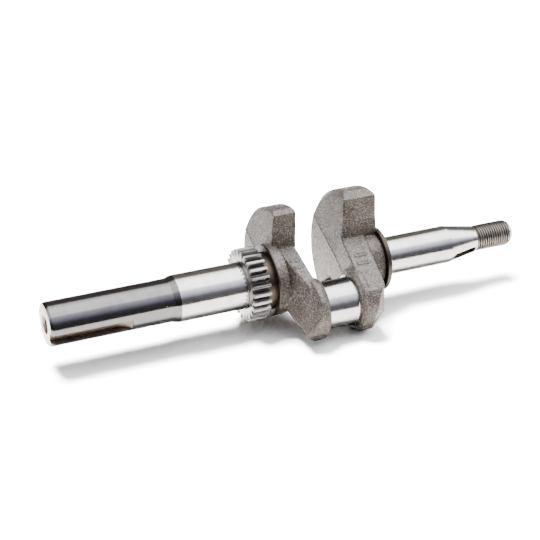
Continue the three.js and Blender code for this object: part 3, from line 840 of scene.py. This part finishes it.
class CRANK_OT_webs(bpy.types.Operator):
    """Builds the two forged webs with their counterweights, and the machined thrust boss"""

    bl_idname = "crank.webs"
    bl_label = "Webs"

    def forged(self, context, name, cad_node, keep_above=None):
        sizes = context.scene.crank_webs
        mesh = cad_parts[cad_node].data.copy()
        mesh.transform(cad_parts[cad_node].matrix_world)
        mesh.transform(STAND_UP)
        bm = bmesh.new()
        bm.from_mesh(mesh)
        bmesh.ops.remove_doubles(bm, verts=bm.verts, dist=2e-6)
        for x, z, reach in FORGING_MARKS[cad_node]:
            size = Matrix.Diagonal((reach * MM, MARK_SIZE, MARK_SIZE, 1.0))
            place = Matrix.Translation((x * MM, -MARK_SIDE, z * MM))
            bmesh.ops.create_cube(bm, size=1.0, matrix=place @ size)
        if keep_above is not None:
            parts = bm.verts[:] + bm.edges[:] + bm.faces[:]
            bmesh.ops.bisect_plane(bm, geom=parts, plane_co=(keep_above, 0, 0), plane_no=(-1, 0, 0),
                                   clear_outer=True)
            rim = [edge for edge in bm.edges if edge.is_boundary]
            bmesh.ops.edgeloop_fill(bm, edges=rim)
        bmesh.ops.recalc_face_normals(bm, faces=bm.faces)
        bm.to_mesh(mesh)
        bm.free()
        web = add_object(name, mesh)
        skin = web.modifiers.new("skin", "REMESH")
        skin.mode = "VOXEL"
        skin.voxel_size = sizes.voxel * 1.0
        soften = web.modifiers.new("soften", "SMOOTH")
        soften.factor = 0.5
        soften.iterations = SOFTEN_STEPS
        baked(web)
        self.forge_skin(web.data, sizes)
        return web

    def forge_skin(self, mesh, sizes):
        """Adds the trimmed flash along the parting plane and the slow waves of a forged skin."""
        moves = []
        for vertex in mesh.vertices:
            normal, place = vertex.normal, vertex.co
            along = 1 - min(1.0, abs(normal.y) * 1.4)
            flash = sizes.flash * along * math.exp(-((place.y / sizes.flash_width) ** 2))
            wave = noise.noise(place * 130) * 0.6 + noise.noise(place * 420) * 0.25
            moves.append(place + normal * (flash + sizes.skin * wave))
        for vertex, place in zip(mesh.vertices, moves):
            vertex.co = place

    def execute(self, context):
        steel = forged_material()
        seat = JOURNAL_HIGH.x
        thrust = seat + SHOULDER_LENGTH
        drive = self.forged(context, "drive_web", "pto_web", thrust + 0.15 * MM)
        finish_piece(drive, ["pto_web"], steel, 60.0)
        fly = self.forged(context, "flywheel_side_web", "flywheel_web")
        finish_piece(fly, ["flywheel_web"], steel, 60.0)
        profile = [
            (seat, 0), (seat, SHOULDER_RADIUS), (thrust, SHOULDER_RADIUS), (thrust, BOSS_RADIUS),
            (thrust + 1.0 * MM, BOSS_RADIUS), (thrust + 1.0 * MM, 0),
        ]
        boss = turned_piece("thrust_boss", rounded(profile, (1, 3), 0.35 * MM))
        # The shoulder and the boss take the painted shade.
        finish_piece(boss, [], machined("Oiled steel"))
        return {"FINISHED"}


class CRANK_OT_crankpin(bpy.types.Operator):
    """Builds the ground crankpin with its fillets"""

    bl_idname = "crank.crankpin"
    bl_label = "Crankpin"

    def execute(self, context):
        radius = (PIN_HIGH.z - PIN_LOW.z) / 2
        wall = 1.2 * MM
        left, right = PIN_LOW.x, PIN_HIGH.x
        profile = [(left - 0.4 * MM, 0), (left - 0.4 * MM, radius + wall)]
        profile += fillet(left, radius, wall) + fillet(right, radius, wall, -1)[::-1]
        profile += [(right + 0.4 * MM, radius + wall), (right + 0.4 * MM, 0)]
        pin = turned_piece("crankpin_ground", profile)
        pin.data.transform(Matrix.Translation((0, 0, -THROW)))
        finish_piece(pin, ["crankpin"], machined("Ground steel"))
        return {"FINISHED"}


class CRANK_OT_flywheel_end(bpy.types.Operator):
    """Builds the thrust flange, the flywheel journal and the keyed taper"""

    bl_idname = "crank.flywheel_end"
    bl_label = "Flywheel end"

    def execute(self, context):
        sizes = context.scene.crank_shafts
        flange_r = (FLANGE_HIGH.z - FLANGE_LOW.z) / 2
        profile = [
            (FLANGE_LOW.x, 0), (FLANGE_LOW.x, flange_r), (FLANGE_HIGH.x, flange_r), (FLANGE_HIGH.x, 0),
        ]
        flange = turned_piece("thrust_flange_turned", rounded(profile, (1, 2), 0.3 * MM))
        finish_piece(flange, ["thrust_flange"], machined("Polished steel"))
        # The flange's rim and its face towards the web take the painted shade; its outer face stays polished.
        flange.data.materials.append(machined("Oiled steel"))
        for face in flange.data.polygons:
            if face.normal.x < 0.5:
                face.material_index = 1

        journal_r = (BEARING_HIGH.z - BEARING_LOW.z) / 2
        start, large, small = FLANGE_HIGH.x, TAPER_LOW.x, TAPER_HIGH.x
        small_r = TAPER_SMALL_RADIUS
        wall = 1.0 * MM
        profile = [(start - 0.3 * MM, 0), (start - 0.3 * MM, journal_r + wall)]
        profile += fillet(start, journal_r, wall)
        profile += [(large + 0.02 * MM, journal_r), (large + 0.02 * MM, 0)]
        journal = turned_piece("flywheel_journal_ground", profile)
        finish_piece(journal, ["flywheel_journal"], machined("Ground steel"))

        taper = turned_piece("keyed_taper", [
            (large, 0), (large, journal_r),
            (small - 0.3 * MM, small_r), (small, small_r - 0.2 * MM), (small, 0),
        ])
        half = sizes.taper_key_width / 2
        first = large + sizes.taper_key_start
        last = first + sizes.taper_key_length
        slope = (journal_r - small_r) / (small - large)

        def floor_at(x):
            return -(journal_r - slope * (x - large) - sizes.taper_key_depth)

        outline = [(first + half - half * math.cos(math.radians(a)), half * math.sin(math.radians(a)))
                   for a in range(-90, 91, 10)]
        outline += [(last, half), (last, -half)]
        top = [(x, y, floor_at(x)) for x, y in outline]
        cut(taper, mesh_between("taper_keyway", top, [(x, y, -20 * MM) for x, y in outline]))
        finish_piece(taper, ["flywheel_taper"], machined("Taper steel"))
        taper.data.materials.append(machined("Keyway steel"))
        for face in taper.data.polygons:
            x, y, z = STAND_UP @ face.center
            surface = journal_r - slope * (x - large) - 0.12 * MM
            if large + 0.1 * MM < x < small - 0.1 * MM and math.hypot(y, z) < surface:
                face.material_index = 1
        return {"FINISHED"}


class CRANK_OT_threaded_end(bpy.types.Operator):
    """Builds the helical thread and the chamfered tip of the flywheel end"""

    bl_idname = "crank.threaded_end"
    bl_label = "Threaded end"

    def execute(self, context):
        sizes = context.scene.crank_thread
        crest = (THREAD_HIGH.z - THREAD_LOW.z) / 2
        # The thread's grooves take a painted shade below the crests.
        steel = machined("Thread steel", crest - 0.1 * MM, THREAD_SHADOW_DEPTH)
        end = run_tree("threaded_end_cut", thread_tree(), {
            "Start": THREAD_LOW.x, "Length": THREAD_HIGH.x - THREAD_LOW.x, "Crest Radius": crest,
            "Relief Radius": sizes.relief_diameter / 2, "Tip Radius": sizes.tip_diameter / 2,
            "Pitch": sizes.pitch, "Depth": sizes.depth, "Full Length": sizes.full_length, "Material": steel,
        })
        outward(end.data)
        finish_piece(end, ["threaded_end"], steel, 50.0)
        end.data.materials.append(machined("Tip steel"))
        for face in end.data.polygons:
            if face.center.x > THREAD_LOW.x + sizes.full_length + 0.3 * MM:
                face.material_index = 1
        return {"FINISHED"}


class CRANK_OT_stage(bpy.types.Operator):
    """Builds the floor, the studio light and the camera"""

    bl_idname = "crank.stage"
    bl_label = "Stage"

    def execute(self, context):
        scene = context.scene
        low = min(CAD_BOUNDS[0][2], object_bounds()[0][2])
        bm = bmesh.new()
        bmesh.ops.create_circle(bm, cap_ends=True, radius=FLOOR_RADIUS, segments=96)
        floor = add_object("studio_floor", mesh_from("studio_floor", bm))
        floor.data.transform(Matrix.Translation((0, FLOOR_RADIUS - FLOOR_IN_FRONT, low)))
        material, tree, shader = new_material("Studio floor", 0.0, 0.9)
        path = node(tree, "ShaderNodeLightPath")
        place = node(tree, "ShaderNodeSeparateXYZ")
        tree.links.new(node(tree, "ShaderNodeTexCoord").outputs["Object"], place.inputs[0])
        # Painted shade: behind the part, the floor that the metal reflects is darker.
        behind = map_range(tree, place.outputs["Y"], 0.02, 0.12)
        colours = scene.crank_colours
        bounce = mix_colour(tree, behind, tuple(colours.floor_bounce), tuple(colours.floor_behind_shade))
        spill = (FLOOR_SPILL, FLOOR_SPILL, FLOOR_SPILL, 1.0)
        seen = mix_colour(tree, path.outputs["Is Glossy Ray"], spill, bounce)
        white = mix_colour(tree, path.outputs["Is Camera Ray"], seen, tuple(colours.floor))
        tree.links.new(white, shader.inputs["Base Color"])
        shader.inputs["Specular IOR Level"].default_value = 0.1
        # Far from the part the floor fades into the backdrop, so that its edge isn't seen.
        distance = node(tree, "ShaderNodeVectorMath", operation="LENGTH")
        tree.links.new(node(tree, "ShaderNodeTexCoord").outputs["Object"], distance.inputs[0])
        far = map_range(tree, distance.outputs["Value"], FADE_FROM, FADE_TO)
        fade = times(tree, far, path.outputs["Is Camera Ray"])
        glow = node(tree, "ShaderNodeEmission")
        glow.inputs["Strength"].default_value = BACKDROP_STRENGTH
        surface = next(item for item in tree.nodes if item.type == "OUTPUT_MATERIAL").inputs["Surface"]
        tree.links.new(mix_shader(tree, fade, shader, glow), surface)
        floor.data.materials.append(material)
        floor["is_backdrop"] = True
        self.world(scene)
        self.key_light(scene)
        camera = bpy.data.cameras.new("camera")
        camera.lens = LENS
        camera.sensor_width = 36.0
        camera.clip_start = 0.01
        camera.clip_end = 50.0
        eye = bpy.data.objects.new("camera", camera)
        back = CAMERA_RIGHT.cross(CAMERA_UP)
        pose = Matrix((CAMERA_RIGHT, CAMERA_UP, back)).transposed().to_4x4()
        pose.translation = CAMERA_PLACE
        eye.matrix_world = LAY_DOWN @ pose
        scene.collection.objects.link(eye)
        scene.camera = eye
        return {"FINISHED"}

    def key_light(self, scene):
        light = bpy.data.lights.new("key_softbox", "AREA")
        light.shape = "RECTANGLE"
        light.size, light.size_y = KEY_SIZE
        light.energy = KEY_POWER
        lamp = bpy.data.objects.new("key_softbox", light)
        lamp.location = KEY_PLACE
        lamp.visible_glossy = False
        lamp.rotation_euler = (-Vector(KEY_PLACE)).to_track_quat("-Z", "Y").to_euler()
        scene.collection.objects.link(lamp)

    def world(self, scene):
        """A white ceiling over the part, fading to the dark of the room in front of it and behind it."""
        world = bpy.data.worlds.new("Studio")
        scene.world = world
        world.use_nodes = True
        tree = world.node_tree
        tree.nodes.clear()
        parts = node(tree, "ShaderNodeSeparateXYZ")
        tree.links.new(node(tree, "ShaderNodeTexCoord").outputs["Generated"], parts.inputs[0])
        forward = times(tree, parts.outputs["Y"], -1.0)
        rise = math_node(tree, "DIVIDE", math_node(tree, "ARCTAN2", parts.outputs["Z"], forward), math.pi)
        ramp = node(tree, "ShaderNodeValToRGB")
        tree.links.new(rise, ramp.inputs["Fac"])
        stops = ramp.color_ramp.elements
        stops[0].position, stops[0].color = 0.0, SKY_FRONT
        stops[1].position, stops[1].color = 1.0, SKY_BACK
        for position, shade in SKY:
            stops.new(position).color = (*shade, 1)
        sky = node(tree, "ShaderNodeBackground")
        tree.links.new(ramp.outputs["Color"], sky.inputs["Color"])
        path = node(tree, "ShaderNodeLightPath")
        strength = map_range(tree, path.outputs["Is Diffuse Ray"], 0.0, 1.0, SKY_STRENGTH,
                             SKY_STRENGTH * DIFFUSE_SKY_SHARE)
        side = map_range(tree, parts.outputs["X"], -0.3, 0.15, LEFT_SKY_SHARE, 1.0)
        tree.links.new(times(tree, strength, side), sky.inputs["Strength"])
        plain = node(tree, "ShaderNodeBackground")
        plain.inputs["Color"].default_value = (1, 1, 1, 1)
        plain.inputs["Strength"].default_value = BACKDROP_STRENGTH
        out = node(tree, "ShaderNodeOutputWorld")
        mixed = mix_shader(tree, path.outputs["Is Camera Ray"], sky, plain)
        tree.links.new(mixed, out.inputs["Surface"])


class CRANK_PT_panel(bpy.types.Panel):
    """Lists the crankshaft's pieces"""

    bl_idname = "CRANK_PT_panel"
    bl_label = "Crankshaft"
    bl_space_type = "VIEW_3D"
    bl_region_type = "UI"
    bl_category = "Crankshaft"

    def draw(self, context):
        column = self.layout.column()
        for operator in PIECES:
            column.operator(operator.bl_idname)


PIECES = (
    CRANK_OT_drive_end, CRANK_OT_timing_gear, CRANK_OT_webs, CRANK_OT_crankpin, CRANK_OT_flywheel_end,
    CRANK_OT_threaded_end, CRANK_OT_stage,
)
SETTINGS = {
    "crank_shafts": CrankShaftSizes, "crank_gear": CrankGearSizes, "crank_thread": CrankThreadSizes,
    "crank_webs": CrankWebSizes, "crank_colours": CrankColours,
}


def register():
    for kind in (*SETTINGS.values(), *PIECES, CRANK_PT_panel):
        bpy.utils.register_class(kind)
    for name, kind in SETTINGS.items():
        setattr(bpy.types.Scene, name, bpy.props.PointerProperty(type=kind))


def unregister():
    for name in SETTINGS:
        delattr(bpy.types.Scene, name)
    for kind in (CRANK_PT_panel, *reversed(PIECES), *reversed(list(SETTINGS.values()))):
        bpy.utils.unregister_class(kind)


def main():
    register()
    bpy.ops.crank.drive_end()
    bpy.ops.crank.timing_gear()
    bpy.ops.crank.webs()
    bpy.ops.crank.crankpin()
    bpy.ops.crank.flywheel_end()
    bpy.ops.crank.threaded_end()
    bpy.ops.crank.stage()


if __name__ == "__main__":
    main()
